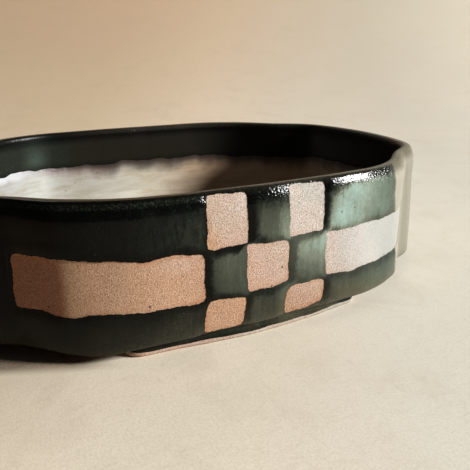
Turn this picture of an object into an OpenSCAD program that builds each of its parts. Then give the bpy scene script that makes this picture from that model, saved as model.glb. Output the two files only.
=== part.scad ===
// Low four-lobed stoneware flower vessel, slab built and glazed.
// Millimetres, +Z up. The origin is on the table, under the middle of the vessel, and the front lobe faces -Y.
// Four bent wall slabs stand on a lobed floor slab, and the floor stands on four low feet.
// An inset is a distance inwards from the widest outline of the plan, which is the outer edge of the lip.

/* [Overall] */
// Length over the two end lobes
length = 282; // [230:1:340]
// Width over the front and back lobes
width = 198; // [164:1:238]
// Height from the table to the rim
height = 70; // [58:1:90]

/* [Lobes] */
// Radius of the long, nearly flat crown of the front and back lobes
side_crown_r = 800; // [500:10:1200]
// Radius of the corners of the front and back lobes
side_corner_r = 72; // [58:1:87]
// Radius of the crown of the end lobes
end_crown_r = 140; // [130:1:170]
// Radius of the corners of the end lobes
end_corner_r = 38; // [30:1:46]
// Distance of each notch from the end of the vessel
notch_from_end = 34; // [28:1:41]
// Distance of each notch from the side of the vessel
notch_from_side = 33; // [27:1:40]

/* [Clay] */
// Thickness of the wall slabs
wall_t = 5.1; // [4:0.1:8]
// Thickness of the floor slab
floor_t = 6.5; // [5:0.1:9]
// How far the lip stands out past the wall
lip_flare = 1; // [0.5:0.1:2]
// Height of the lip
lip_h = 6; // [4:0.1:9]
// Depth of the eased edges of the rim
rim_drop = 2.2; // [1.5:0.1:3]
// Sideways reach of the eased edges of the rim
rim_ease = 1.4; // [0.8:0.1:2]

/* [Glaze] */
// Thickness of every coat of glaze
glaze_t = 0.8; // [0.5:0.1:1.2]
// Depth of the dark glaze below the rim, on the inside
inner_band = 24; // [15:1:35]

/* [Feet] */
// Height of the feet
foot_h = 7; // [5:0.1:10]
// Width of a foot from its outer to its inner face
foot_w = 12; // [8:0.5:18]
// Distance of the feet behind the glazed face of the wall
foot_set = 1.8; // [1.2:0.1:6]
// Length of the feet under the front and back lobes
side_foot_l = 130; // [80:1:156]
// Length of the feet under the end lobes
end_foot_l = 62; // [40:1:76]
// Height of the bare clay at the bottom of each foot
foot_bare = 2.6; // [1:0.1:4]

/* [Pattern] */
// Width of one check
check_w = 20.5; // [16:0.5:25]
// Height of one check
check_h = 24; // [20:0.5:29]
// Distance of the top row of checks below the rim
check_drop = 1.2; // [1:0.1:3]
// Sideways place of the middle of the checks
check_x = -1.3; // [-8:0.1:8]
// Radius of the corners of the bare patches
patch_r = 2.4; // [1:0.1:4]
// Glaze left between the lowest patches and the bottom edge
edge_line = 0.8; // [0.4:0.1:2]
// Distance of the ends of the bare stripe from the notches
stripe_gap = 3; // [2:0.5:12]

/* [Hidden] */
$fn = 96;

clay_colour = "#c9a184";
dark_colour = "#2b2e28";
liner_colour = "#e6dfd2";

// Checks in a row and in a column
checks = 3;
// Room that a cutting shape takes past the face it cuts
past = 1;
// Largest corner radius of a bare patch, as a share of its height
corner_share = 0.45;
// Steps of each crown and corner in half a lobe of the plan
crown_steps = 4;
corner_steps = 13;
// Steps of the long faces of a foot
foot_steps = 8;

half_l = length / 2;
half_w = width / 2;

// Insets of the layers of the wall, from outside to inside
face_in = lip_flare;
clay_out = face_in + glaze_t;
clay_in = clay_out + wall_t;
inner_in = clay_in + glaze_t;
mid_wall = (clay_out + clay_in) / 2;

// Insets of the feet
foot_face = face_in + foot_set;
foot_out = foot_face + glaze_t;
foot_mid = foot_out + foot_w / 2;

// Heights of the layers, from the table up
floor_top = foot_h + floor_t;
band_z = height - inner_band;
lip_z = height - lip_h;
clay_top = height - glaze_t;

// Levels of the wall slab, as outer inset, inner inset, bottom and top: the wall, the lip that stands out, and the
// rim with its eased edges
slab_levels = [
    [clay_out, clay_in, floor_top, lip_z + glaze_t],
    [glaze_t, clay_in, lip_z + glaze_t, clay_top - rim_drop],
    [glaze_t + rim_ease, clay_in - rim_ease, clay_top - rim_drop, clay_top]
];

// Plan of the front right quarter: the notch, then the centres of the crowns and of the corners beside the notch
notch = [half_l - notch_from_end, notch_from_side - half_w];
side_crown = [0, side_crown_r - half_w];
end_crown = [half_l - end_crown_r, 0];
side_corner = corner(side_crown, side_crown_r, side_corner_r, -1);
end_corner = corner(end_crown, end_crown_r, end_corner_r, 1);

// Directions at which each crown turns into its corner, and at which the corner ends on the notch
side_turn = angle_of(side_corner - side_crown);
side_end = angle_of(notch - side_corner);
end_turn = angle_of(end_corner - end_crown);
end_end = angle_of(notch - end_corner);
// Step inwards along the seam behind the notch, for an inset of 1
seam = -(direction(side_end) + direction(end_end)) / (1 + cos(side_end - end_end));

function angle_of(v) = atan2(v[1], v[0]);
function direction(angle) = [cos(angle), sin(angle)];
function quarter_turn(v) = [-v[1], v[0]];
function reversed(points) = [for (i = [len(points) - 1:-1:0]) points[i]];
function mirror_x(points) = [for (p = points) [-p[0], p[1]]];
function mirror_y(points) = [for (p = points) [p[0], -p[1]]];
// Angle that an arc of a given length spans
function span(arc_length, r) = arc_length / r * 180 / PI;

// Centre of the corner arc that touches its crown from within and ends on the notch
function corner(crown, crown_r, r, side) =
    let (d = norm(notch - crown),
         u = (notch - crown) / d,
         along = (pow(crown_r - r, 2) - r * r + d * d) / (2 * d),
         across = sqrt(pow(crown_r - r, 2) - along * along))
    crown + along * u + side * across * quarter_turn(u);

// Points of an arc, without the last
function arc(centre, r, from, to, steps) =
    [for (i = [0:steps - 1]) centre + r * direction(from + (to - from) * i / steps)];

// Half of a lobe at an inset, from the middle of its crown to the seam
function side_half(inset) = concat(
    arc(side_crown, side_crown_r - inset, -90, side_turn, crown_steps),
    arc(side_corner, side_corner_r - inset, side_turn, side_end, corner_steps),
    [notch + inset * seam]);
function end_half(inset) = concat(
    arc(end_crown, end_crown_r - inset, 0, end_turn, crown_steps),
    arc(end_corner, end_corner_r - inset, end_turn, end_end, corner_steps),
    [notch + inset * seam]);

// A whole lobe at an inset, from seam to seam
function tail(points) = [for (i = [1:len(points) - 1]) points[i]];
function side_lobe(inset) = concat(mirror_x(reversed(tail(side_half(inset)))), side_half(inset));
function end_lobe(inset) = concat(reversed(end_half(inset)), mirror_y(tail(end_half(inset))));

// The whole four-lobed plan at an inset
module plan(inset)
    polygon(concat(
        side_lobe(inset), tail(end_lobe(inset)),
        tail(mirror_y(reversed(side_lobe(inset)))), tail(mirror_x(reversed(end_lobe(inset))))));

// Upright band along the front lobe, between two insets and two heights
module side_band(inset_a, inset_b, z_a, z_b)
    translate([0, 0, z_a]) linear_extrude(height = z_b - z_a)
        polygon(concat(side_lobe(inset_a), reversed(side_lobe(inset_b))));

// Upright band along the right end lobe
module end_band(inset_a, inset_b, z_a, z_b)
    translate([0, 0, z_a]) linear_extrude(height = z_b - z_a)
        polygon(concat(end_lobe(inset_a), reversed(end_lobe(inset_b))));

// Upright band all the way round
module ring(inset_a, inset_b, z_a, z_b)
    translate([0, 0, z_a]) linear_extrude(height = z_b - z_a) difference() {
        plan(inset_a);
        plan(inset_b);
    }

// One bare patch, drawn as seen from the front
module patch(x_a, x_b, z_a, z_b) {
    r = min(patch_r, (z_b - z_a) * corner_share);
    translate([x_a + r, z_a]) square([x_b - x_a - 2 * r, z_b - z_a]);
    translate([x_a, z_a + r]) square([x_b - x_a, z_b - z_a - 2 * r]);
    for (x = [x_a + r, x_b - r]) for (z = [z_a + r, z_b - r]) translate([x, z]) circle(r = r);
}

// Bare checks, and the bare stripe that runs from them to the notches, as seen from the front
module patches() {
    left = check_x - checks * check_w / 2;
    right = check_x + checks * check_w / 2;
    top = height - check_drop;
    lowest = foot_h + edge_line;
    stripe_end = notch[0] - stripe_gap;
    for (i = [0:checks - 1]) for (j = [0:checks - 1])
        if ((i + j) % 2 == 0)
            patch(left + i * check_w, left + (i + 1) * check_w,
                  max(top - (j + 1) * check_h, lowest), top - j * check_h);
    patch(-stripe_end, left, top - 2 * check_h, top - check_h);
    patch(right, stripe_end, top - 2 * check_h, top - check_h);
}

// Cuts the patches from outside the front wall, in to a given distance from the widest outline
module patch_cut(depth)
    translate([0, depth - half_w, 0]) rotate([90, 0, 0]) linear_extrude(height = depth + past) patches();

// Bar under a crown, with rounded ends, standing on the table
module foot(crown, crown_r, facing, foot_l) {
    mid_r = crown_r - foot_mid;
    half = span((foot_l - foot_w) / 2, mid_r);
    from = facing - half;
    to = facing + half;
    linear_extrude(height = foot_h) polygon(concat(
        arc(crown, mid_r + foot_w / 2, from, to, foot_steps),
        arc(crown + mid_r * direction(to), foot_w / 2, to, to + 180, corner_steps),
        arc(crown, mid_r - foot_w / 2, to, from, foot_steps),
        arc(crown + mid_r * direction(from), foot_w / 2, from + 180, from + 360, corner_steps)));
}

// Glaze on the outer face of a foot, above its bare edge
module foot_coat(crown, crown_r, facing, foot_l) {
    half = span((foot_l - foot_w) / 2, crown_r - foot_mid);
    function edge(inset) = concat(
        arc(crown, crown_r - inset, facing - half, facing + half, foot_steps),
        [crown + (crown_r - inset) * direction(facing + half)]);
    translate([0, 0, foot_bare]) linear_extrude(height = foot_h - foot_bare)
        polygon(concat(edge(foot_face), reversed(edge(foot_out))));
}

module side_foot() foot(side_crown, side_crown_r, -90, side_foot_l);
module end_foot() foot(end_crown, end_crown_r, 0, end_foot_l);

// Slab of clay bent along a lobe
module side_slab() for (level = slab_levels) side_band(level[0], level[1], level[2], level[3]);
module end_slab() for (level = slab_levels) end_band(level[0], level[1], level[2], level[3]);

// Glaze of a wall, from the bottom edge up to the lip
module side_coat()
    difference() {
        side_band(face_in, clay_out, foot_h, lip_z);
        patch_cut(notch_from_side);
    }
module end_coat() end_band(face_in, clay_out, foot_h, lip_z);

module floor_slab()
    color(clay_colour) translate([0, 0, foot_h]) linear_extrude(height = floor_t) plan(clay_out);

module front_wall() color(clay_colour) side_slab();
module back_wall() color(clay_colour) mirror([0, 1, 0]) side_slab();
module right_wall() color(clay_colour) end_slab();
module left_wall() color(clay_colour) mirror([1, 0, 0]) end_slab();

module front_foot() color(clay_colour) side_foot();
module back_foot() color(clay_colour) mirror([0, 1, 0]) side_foot();
module right_foot() color(clay_colour) end_foot();
module left_foot() color(clay_colour) mirror([1, 0, 0]) end_foot();

module front_glaze() color(dark_colour) side_coat();
module back_glaze() color(dark_colour) rotate([0, 0, 180]) side_coat();
module right_glaze() color(dark_colour) end_coat();
module left_glaze() color(dark_colour) mirror([1, 0, 0]) end_coat();

// Dark glaze over the lip and down the inside
module rim_glaze()
    color(dark_colour) difference() {
        union() {
            ring(0, inner_in, lip_z, height - rim_drop);
            ring(rim_ease, inner_in - rim_ease, lip_z, height);
            ring(clay_in, inner_in, band_z, height - rim_drop);
        }
        for (level = slab_levels) ring(level[0], level[1], level[2], level[3]);
        for (turned = [0, 180]) rotate([0, 0, turned]) patch_cut(mid_wall);
    }

module liner_glaze()
    color(liner_colour) {
        translate([0, 0, floor_top]) linear_extrude(height = glaze_t) plan(clay_in);
        ring(clay_in, inner_in, floor_top, band_z);
    }

module foot_glaze()
    color(dark_colour) {
        for (side = [0, 1]) mirror([0, side, 0]) foot_coat(side_crown, side_crown_r, -90, side_foot_l);
        for (side = [0, 1]) mirror([side, 0, 0]) foot_coat(end_crown, end_crown_r, 0, end_foot_l);
    }

floor_slab();
front_wall();
back_wall();
left_wall();
right_wall();
front_foot();
back_foot();
left_foot();
right_foot();
front_glaze();
back_glaze();
left_glaze();
right_glaze();
rim_glaze();
liner_glaze();
foot_glaze();
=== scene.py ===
import math

import bpy
import numpy as np
from mathutils import Matrix, Vector


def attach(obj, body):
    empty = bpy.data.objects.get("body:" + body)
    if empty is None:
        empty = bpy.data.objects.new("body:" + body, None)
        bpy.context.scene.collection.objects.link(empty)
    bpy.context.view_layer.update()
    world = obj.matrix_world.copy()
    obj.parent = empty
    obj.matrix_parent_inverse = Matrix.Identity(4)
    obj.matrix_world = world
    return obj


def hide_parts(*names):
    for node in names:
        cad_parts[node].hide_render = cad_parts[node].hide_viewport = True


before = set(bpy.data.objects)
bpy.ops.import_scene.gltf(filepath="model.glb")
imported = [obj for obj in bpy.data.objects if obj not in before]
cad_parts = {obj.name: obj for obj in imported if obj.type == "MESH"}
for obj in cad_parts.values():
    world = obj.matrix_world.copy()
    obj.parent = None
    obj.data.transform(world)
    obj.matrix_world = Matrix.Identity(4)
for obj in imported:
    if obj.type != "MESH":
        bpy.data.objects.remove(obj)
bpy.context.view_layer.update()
scene = bpy.context.scene

# Sizes of the vessel in millimetres, as in its CAD model
LENGTH, WIDTH, HEIGHT = 282.0, 198.0, 70.0
SIDE_CROWN_R, SIDE_CORNER_R = 800.0, 72.0
END_CROWN_R, END_CORNER_R = 140.0, 38.0
NOTCH_FROM_END, NOTCH_FROM_SIDE = 34.0, 33.0
WALL_T, FLOOR_T, GLAZE_T = 5.1, 6.5, 0.8
LIP_FLARE, LIP_H = 1.0, 6.0
FOOT_H, FOOT_W, FOOT_SET, FOOT_BARE = 7.0, 12.0, 1.8, 2.6
SIDE_FOOT_L, END_FOOT_L = 130.0, 62.0
CLAY_IN = LIP_FLARE + GLAZE_T + WALL_T
INNER_IN = CLAY_IN + GLAZE_T
FLOOR_TOP = FOOT_H + FLOOR_T
LIP_Z = HEIGHT - LIP_H
FOOT_MID = LIP_FLARE + FOOT_SET + GLAZE_T + FOOT_W / 2
MM = 0.001
TURN = 2 * math.pi

# Thickness of the liner, thickness of a dark coat at its bare edge, the width over which it thickens,
# and how deep the coats are keyed into the clay
LINER_T, EDGE_T, EDGE_W, KEYED = 0.6, 0.07, 4.5, 0.25
# Distances from a bare edge: the largest that is recorded, one that means none, and that of the plain lobes
EDGE_FAR, NO_PATCH, PLAIN_LOBE = 50.0, 1e3, 30.0


def waves(x, *terms):
    """Sum of sine waves, each given as its length, size and phase."""
    total = np.zeros_like(np.asarray(x, float))
    for length, size, phase in terms:
        total = total + size * np.sin(TURN * x / length + phase)
    return total


def smooth_step(x, low, high):
    t = np.clip((x - low) / (high - low), 0, 1)
    return t * t * (3 - 2 * t)


def bump(x, middle, width):
    return np.exp(-((x - middle) / width) ** 2)


def unit(angles):
    return np.stack([np.cos(angles), np.sin(angles)], -1)


def closest_row(values, value):
    return int(np.argmin(np.abs(values - value)))


def rows_between(start, end, count):
    """Row numbers spread evenly from one row to another."""
    return np.unique(np.linspace(start, end, count).astype(int))


def at_places(places, known, columns, period=None):
    """Two columns of numbers, read between the places where they are known."""
    return np.column_stack([np.interp(places, known, columns[:, k], period=period) for k in (0, 1)])


def lengths_along(points):
    """Distance along a polyline of each of its points."""
    return np.concatenate([[0], np.cumsum(np.hypot(*np.diff(points, axis=0).T))])


def evenly(points, spacing):
    """Points at even steps along a polyline."""
    points = np.asarray(points, float)
    along = lengths_along(points)
    count = int(round(along[-1] / spacing))
    return at_places(np.linspace(0, along[-1], count + 1), along, points)


def rounded(points, spacing, sigma, closed=True):
    """Even points of a curve with its corners rounded by a bell-shaped mean."""
    reach = int(4 * sigma / spacing)
    kernel = np.exp(-0.5 * (np.arange(-reach, reach + 1) * spacing / sigma) ** 2)
    kernel /= kernel.sum()
    if closed:
        padded = np.vstack([points[-reach:], points, points[:reach]])
    else:
        start = 2 * points[0] - points[reach:0:-1]
        end = 2 * points[-1] - points[-2:-reach - 2:-1]
        padded = np.vstack([start, points, end])
    return np.column_stack([np.convolve(padded[:, k], kernel, "valid") for k in (0, 1)])


# Plan of the vessel: one closed curve, from the middle of the front lobe towards the right end
PLAN_STEP = 0.25
PLAN_SOFT, NOTCH_SOFT, INNER_SOFT = 0.3, 3.4, 8.0
half_l, half_w = LENGTH / 2, WIDTH / 2
notch = np.array([half_l - NOTCH_FROM_END, NOTCH_FROM_SIDE - half_w])
side_crown = np.array([0.0, SIDE_CROWN_R - half_w])
end_crown = np.array([half_l - END_CROWN_R, 0.0])


def corner_centre(crown, crown_r, r, side):
    """Centre of the corner arc that touches its crown from within and ends on the notch."""
    d = np.linalg.norm(notch - crown)
    u = (notch - crown) / d
    along = ((crown_r - r) ** 2 - r * r + d * d) / (2 * d)
    across = math.sqrt((crown_r - r) ** 2 - along * along)
    return crown + along * u + side * across * np.array([-u[1], u[0]])


def angle_of(v):
    return math.atan2(v[1], v[0])


def arc(centre, r, start, end):
    count = max(2, int(abs(end - start) * r / PLAN_STEP))
    return centre + r * unit(np.linspace(start, end, count, endpoint=False))


def inward(curve):
    """Directions square to a closed curve, towards its inside."""
    tangent = np.roll(curve, -1, 0) - np.roll(curve, 1, 0)
    tangent /= np.linalg.norm(tangent, axis=1)[:, None]
    return np.column_stack([-tangent[:, 1], tangent[:, 0]])


side_corner = corner_centre(side_crown, SIDE_CROWN_R, SIDE_CORNER_R, -1)
end_corner = corner_centre(end_crown, END_CROWN_R, END_CORNER_R, 1)
side_turn = angle_of(side_corner - side_crown)
end_turn = angle_of(end_corner - end_crown)
front_right = np.vstack([
    arc(side_crown, SIDE_CROWN_R, -math.pi / 2, side_turn),
    arc(side_corner, SIDE_CORNER_R, side_turn, angle_of(notch - side_corner)),
    arc(end_corner, END_CORNER_R, angle_of(notch - end_corner), end_turn),
    arc(end_crown, END_CROWN_R, end_turn, 0), [[half_l, 0]]])
back_right = (front_right * [1, -1])[::-1][1:]
right_side = np.vstack([front_right, back_right])
left_side = (right_side * [-1, 1])[::-1][1:-1]
whole_plan = np.vstack([right_side, left_side, right_side[:1]])
sharp = rounded(evenly(whole_plan, PLAN_STEP)[:-1], PLAN_STEP, PLAN_SOFT)
PERIMETER = len(sharp) * PLAN_STEP
plan_s = np.arange(len(sharp)) * PLAN_STEP
# Distances along the plan: from the middle of the front lobe to its notch, and across an end lobe
SIDE_S = np.argmin(np.hypot(*(sharp[:len(sharp) // 4] - notch).T)) * PLAN_STEP
END_S = PERIMETER / 2 - 2 * SIDE_S

# Slight folds where the slabs were bent, each as its place along the plan, how far it stands out, its width
# and its roundness; and a rounder bend of the whole wall at the back left
FOLDS = [(92.0, 0.75, 9.0, 1.6), (-94.5, 0.75, 9.0, 1.6), (PERIMETER / 2 - 98.0, 1.4, 12.0, 1.6)]
BEND = (PERIMETER / 2 + 56.0, 1.6, 13.0, 13.0)
# Extra thickness of the front wall on its left
THICK, THICK_S, THICK_L = 1.5, -72.0, 34.0
# Lean of the right end, which is wider at its base
LEAN, LEAN_S, LEAN_L = 2.2, 136.0, 36.0
# Sag of the bottom edge at the front left corner, which no foot carries
SLUMP, SLUMP_S, SLUMP_L = 2.5, -80.0, 16.0


def from_front(s):
    """Distance along the plan from the middle of the front lobe, less than 0 to the left."""
    return (s + PERIMETER / 2) % PERIMETER - PERIMETER / 2


def fold(at, out, width, r):
    """How far the wall stands out at each point of the plan because of one fold."""
    return out * np.exp((r - np.hypot(from_front(plan_s - at), r)) / width)


plan = rounded(sharp, PLAN_STEP, NOTCH_SOFT)
plan = plan - inward(plan) * sum(fold(*each) for each in FOLDS + [BEND])[:, None]
inner_plan = rounded(sharp + inward(sharp) * INNER_IN, PLAN_STEP, INNER_SOFT)
thicker = THICK * bump(from_front(plan_s), THICK_S, THICK_L)
inner_plan = inner_plan + inward(inner_plan) * (thicker - fold(*BEND))[:, None]
# The step into the wall for a millimetre of inset
across_wall = (inner_plan - plan) / INNER_IN
front_x = plan[:int(SIDE_S / PLAN_STEP) + 1, 0]


def along_wall(x):
    """Distance along the front wall of a point that lies x to the right of its middle."""
    return np.sign(x) * np.interp(abs(x), front_x, plan_s[:len(front_x)])


def place(s, inset, z):
    """Points of the vessel, with the slight unevenness of a wall made by hand."""
    turns = TURN * s / PERIMETER
    depth = np.clip(inset, 0, None)
    soft = 0.22 + 0.1 * np.sin(9 * turns + 0.7) + 0.07 * np.sin(23 * turns + z / 14)
    soft = soft + 0.04 * np.sin(41 * turns - z / 9)
    belly = 0.25 * np.sin(math.pi * np.clip((z - FOOT_H) / (LIP_Z - FOOT_H), 0, 1))
    lean = LEAN * bump(s, LEAN_S, LEAN_L) * np.clip(1 - z / LIP_Z, 0, 1) * np.exp(-depth / 20)
    rim = 0.14 + 0.09 * np.sin(3 * turns + 2.1) + 0.05 * np.sin(11 * turns)
    rim = np.clip(z / HEIGHT, 0, 1) ** 4 * rim
    slump = SLUMP * bump(from_front(s), SLUMP_S, SLUMP_L)
    slump = slump * np.exp(-np.clip(z - FOOT_H, 0, None) / 12) * np.exp(-depth / 12)
    xy, step = (at_places(s, plan_s, each, PERIMETER) for each in (plan, across_wall))
    xy = xy + step * (inset + soft - belly - lean)[..., None]
    return np.concatenate([xy, (z - rim - slump)[..., None]], -1) * MM


# Cross-section of the wall, as inset and height: from under the bottom edge, over the lip, onto the floor
BOTTOM_EDGE = 5.0
RIDGE_Z = FOOT_H - 0.9
COVE_H = 12
SECTION_STEP, SECTION_SOFT = 0.1, 0.6
profile = [
    (BOTTOM_EDGE + 4, FOOT_H + 0.1), (BOTTOM_EDGE, FOOT_H), (2.3, RIDGE_Z), (LIP_FLARE, RIDGE_Z),
    (LIP_FLARE, LIP_Z - 10), (0.6, LIP_Z - 6), (0.45, LIP_Z - 3.5), (0.48, HEIGHT - 7.4),
    (0.72, HEIGHT - 5.6), (1.2, HEIGHT - 3.9), (2.2, HEIGHT - 1.5), (2.9, HEIGHT), (INNER_IN - 1.2, HEIGHT),
    (INNER_IN - 0.2, HEIGHT - 0.6), (INNER_IN + 0.2, HEIGHT - 2), (INNER_IN + 0.4, FLOOR_TOP + COVE_H),
    (INNER_IN + 2.6, FLOOR_TOP + 5), (INNER_IN + 6.5, FLOOR_TOP + 1.9), (INNER_IN + 13, FLOOR_TOP + GLAZE_T),
    (INNER_IN + 40, FLOOR_TOP + GLAZE_T)]
section = rounded(evenly(profile, SECTION_STEP), SECTION_STEP, SECTION_SOFT, closed=False)
# The section starts at the bottom edge, which lies in its first rows
section = section[closest_row(section[:100, 0], BOTTOM_EDGE):]
run = np.gradient(section, axis=0)
run /= np.linalg.norm(run, axis=1)[:, None]
outwards = np.column_stack([-run[:, 1], run[:, 0]])
clay_section = section - GLAZE_T * outwards
top_index = int(np.argmax(section[:, 1]))
lip_index = closest_row(section[:top_index, 1], LIP_Z - 3)


def inside_index(z):
    """Row of a height on the inner side of the cross-section."""
    return top_index + closest_row(section[top_index:, 1], z)


def stations(start, end, coarse, fine, fine_ranges):
    """Places along the plan, closer together in some ranges."""
    places = [start]
    while places[-1] < end - 1e-6:
        here = places[-1]
        step = fine if any(a - coarse <= here <= b for a, b in fine_ranges) else coarse
        places.append(here + step)
    places = np.array(places)
    return start + (places - start) * (end - start) / (places[-1] - start)


# Bare patches of the front wall: corners of each outline from below left, in x and height, their softness,
# and the swells of its edges, each as an edge (0 below, 2 above), a place, a width and a height
STRIPE_X = notch[0] - 2.6
PATCHES = [
    ([(-31.6, 46.4), (-11.7, 45.3), (-13.0, 68.7), (-31.9, 68.9)], 0.75, [(0, -28, 5, -1.5)]),
    ([(9.8, 44.4), (29.1, 45.1), (28.3, 68.6), (8.5, 68.9)], 0.65, [(0, 22, 5, 0.4)]),
    ([(-12.1, 22.0), (9.9, 22.4), (9.4, 43.7), (-12.9, 45.3)], 0.9, [(2, -4, 5, -0.9), (0, 8.5, 4, 1.1)]),
    ([(-34.2, 6.7), (-14.5, 6.9), (-11.8, 20.1), (-31.2, 21.9)], 1.1, [(2, -19, 4, 0.5)]),
    ([(7.0, 6.4), (30.4, 8.2), (32.0, 20.5), (9.6, 20.5)], 1.6, [(2, 26, 4, 0.5), (0, 27, 4, 0.7)]),
    ([(-STRIPE_X - 2.0, 23.3), (-32.5, 21.7), (-33.1, 44.3), (-STRIPE_X - 1.7, 47.4)], 1.2,
     [(0, -78, 7, 0.9), (0, -89, 6, -1.3), (0, -99, 5, 1.0),
      (2, -97, 6, 0.7), (2, -60, 9, -0.9), (2, -47, 6, 0.6)]),
    ([(31.4, 21.4), (STRIPE_X, 22.3), (STRIPE_X, 43.7), (30.3, 43.6)], 0.8,
     [(0, 48, 6, -0.9), (2, 60, 10, 0.5), (2, 38, 5, -0.3)]),
]


def patch_distance(s, z):
    """Distance outside the nearest bare patch of a wall, s from its middle; less than 0 on bare clay."""
    s_hand = s + waves(z, (15.0, 0.25, 1.0), (6.3, 0.1, 2.0), (2.9, 0.08, s / 9), (1.9, 0.07, s / 5))
    z_hand = z + waves(s, (21.0, 0.2, 0.4), (9.7, 0.13, 1.9), (4.1, 0.09, 0.3), (2.2, 0.07, z / 6))
    nearest = np.full(np.broadcast(s, z).shape, NO_PATCH)
    for corners, soft, swells in PATCHES:
        points = np.array([(along_wall(x), height) for x, height in corners])
        total = 0.0
        for k in range(4):
            a, b = points[k], points[(k + 1) % 4]
            d = (b - a) / np.linalg.norm(b - a)
            away = (s_hand - a[0]) * d[1] - (z_hand - a[1]) * d[0]
            for edge, x, width, height in swells:
                if edge == k:
                    away = away + (height if k == 0 else -height) * bump(s, along_wall(x), width)
            total = total + np.exp(np.clip(away / soft, -60, 60))
        nearest = np.minimum(nearest, soft * np.log(total))
    return nearest


def wall_field(s, z):
    """Distance outside the bare patches, all round: the back repeats the front, the ends are plain."""
    s = (s + PERIMETER / 4) % PERIMETER - PERIMETER / 4
    local = np.where(s > PERIMETER / 4, s - PERIMETER / 2, s)
    return np.where(np.abs(local) < SIDE_S, patch_distance(local, z), NO_PATCH)


# Lower edge of the dark glaze inside: its height, its rise at the left end and at one place of the back, and
# its waves as number round the vessel, size and phase
BAND_Z, BAND_LEFT, BAND_HUMP = 46.9, 2.9, 1.9
BAND_WAVES = [(1, 1.2, 2.6), (7, 0.5, 1.0), (17, 0.4, 0.5), (31, 0.35, 4.0), (58, 0.25, 0.0), (97, 0.15, 1.0)]


def band_height(s):
    left_end = bump(s % PERIMETER, 3 * PERIMETER / 4 - 20, 60)
    hump = bump(s % PERIMETER, PERIMETER / 2 + 2, 10)
    height = BAND_Z + BAND_LEFT * left_end + BAND_HUMP * hump
    for number, size, phase in BAND_WAVES:
        height = height + size * np.sin(number * (TURN * s / PERIMETER) + phase)
    return height


def coat_depth(distance, full=GLAZE_T, first=EDGE_T, width=EDGE_W):
    """Thickness of a coat at a distance from its bare edge."""
    return first + (full - first) * smooth_step(distance, -0.4 * width, width)


def clip_grid(field, closed):
    """Keeps the part of a grid where the field is above 0. Returns fractional grid places and faces."""
    rows, columns = field.shape
    inside = field > 0
    wrap = rows if closed else rows - 1
    corner_id = np.full(field.shape, -1)
    corner_id[inside] = np.arange(inside.sum())
    places = [np.argwhere(inside).astype(float)]
    count = int(inside.sum())
    edge_id = []
    for axis, end in ((0, wrap), (1, columns - 1)):
        other = np.roll(field, -1, axis)
        crossed = inside != np.roll(inside, -1, axis)
        np.moveaxis(crossed, axis, 0)[end:] = False
        at = np.argwhere(crossed).astype(float)
        at[:, axis] += field[crossed] / (field[crossed] - other[crossed])
        ids = np.full(field.shape, -1)
        ids[crossed] = count + np.arange(len(at))
        count += len(at)
        places.append(at)
        edge_id.append(ids)
    i, j = np.meshgrid(np.arange(wrap), np.arange(columns - 1), indexing="ij")
    i2 = (i + 1) % rows
    quads = np.stack([corner_id[i, j], corner_id[i2, j], corner_id[i2, j + 1], corner_id[i, j + 1]], -1)
    whole = (quads >= 0).all(-1)
    faces = quads[whole].tolist()
    for p, q in np.argwhere((quads >= 0).any(-1) & ~whole):
        r = (p + 1) % rows
        corners = [(p, q), (r, q), (r, q + 1), (p, q + 1)]
        edges = [edge_id[0][p, q], edge_id[1][r, q], edge_id[0][p, q + 1], edge_id[1][p, q]]
        face = []
        for corner, edge in zip(corners, edges):
            if inside[corner]:
                face.append(int(corner_id[corner]))
            if edge >= 0:
                face.append(int(edge))
        if len(face) > 2:
            faces.append(face)
    return np.vstack(places), faces


def ring_faces(ring, following, columns):
    """Faces between two closed rings of points, given as their numbers."""
    a, b = (number * columns + np.arange(columns) for number in (ring, following))
    return np.column_stack([a, np.roll(a, -1), np.roll(b, -1), b]).tolist()


def tube_faces(count, columns):
    """Faces between each of a number of rings and the next."""
    return [face for r in range(count - 1) for face in ring_faces(r, r + 1, columns)]


def turned(face):
    """A face that looks the other way, from the same first point."""
    return face[:1] + face[:0:-1]


def ring_cap(ring, columns):
    """The face that fills one closed ring of points."""
    return [ring * columns + c for c in range(columns)]


def shell_faces(faces, count, base=0):
    """Faces of a coat: its top, and then its underside and border, for points that start at base."""
    used = set()
    for face in faces:
        used.update(zip(face, face[1:] + face[:1]))
    border = [(a + base, b + base) for a, b in used if (b, a) not in used]
    tops = [[v + base for v in face] for face in faces]
    backs = [[v + count for v in reversed(face)] for face in tops]
    sides = [(b, a, a + count, b + count) for a, b in border]
    return tops, backs + sides


def new_object(name, data):
    made = bpy.data.objects.new(name, data)
    scene.collection.objects.link(made)
    return made


def new_piece(name, points, smooth, flat, node, material, values):
    """Makes the piece that stands for a CAD node, in metres. Flat faces get points of their own."""
    points = np.asarray(points)
    smooth_used = {v for face in smooth for v in face}
    shared = sorted(smooth_used.intersection(v for face in flat for v in face))
    copies = {v: len(points) + k for k, v in enumerate(shared)}
    split = [[copies.get(v, v) for v in face] for face in flat]
    mesh = bpy.data.meshes.new(name)
    mesh.from_pydata(np.vstack([points, points[shared]]).tolist(), [], smooth + split)
    mesh.polygons.foreach_set("use_smooth", np.arange(len(smooth) + len(split)) < len(smooth))
    for key, value in values.items():
        layer = mesh.attributes.new(key, "FLOAT", "POINT")
        layer.data.foreach_set("value", np.append(value, value[shared]).astype(np.float32))
    mesh.materials.append(material)
    mesh.update()
    piece = new_object(name, mesh)
    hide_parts(node)
    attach(piece, "root")


# Step over which distances to a bare patch are compared, to find its right and lower sides
LEE_REACH = 2.0
# Insets on the lip from which its coat counts as inner, in thickness and in colour
LIP_MIDDLE, LIP_INSIDE = 3.6, 5.4


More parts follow.
